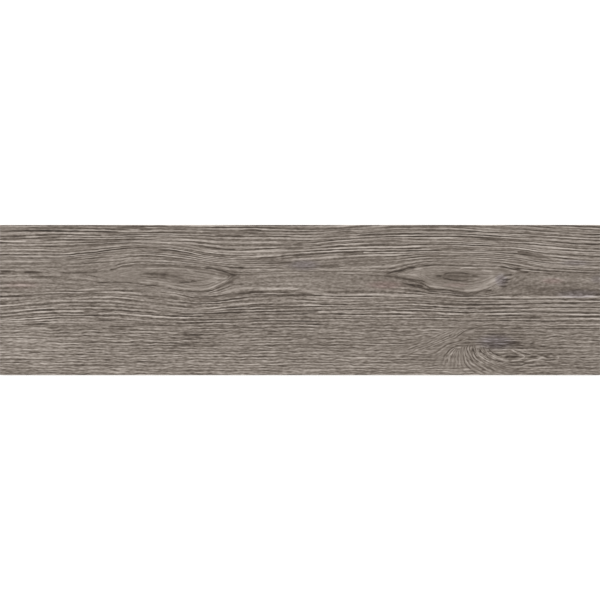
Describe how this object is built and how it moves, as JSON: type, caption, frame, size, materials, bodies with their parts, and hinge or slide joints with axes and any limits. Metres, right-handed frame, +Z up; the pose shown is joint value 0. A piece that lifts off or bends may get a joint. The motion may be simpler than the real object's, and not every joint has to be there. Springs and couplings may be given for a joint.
{
  "type": "wood look porcelain plank tile",
  "caption": "Long rectangular porcelain floor and wall tile with a matte weathered oak print, square ground edges and a ribbed key-back.",
  "frame": {"origin": "centre of the plane that the back ribs and rim stand on, under the middle of the plank", "axes": "+X along the plank's length, +Y across its width towards the edge that is uppermost in the picture, +Z up out of the printed face"},
  "size_m": [0.6, 0.15, 0.009],
  "materials": {
    "glazed_face": "matte"
  },
  "bodies": {
    "root": {"plank_tile": "glazed_face"}
  },
  "joints": []
}
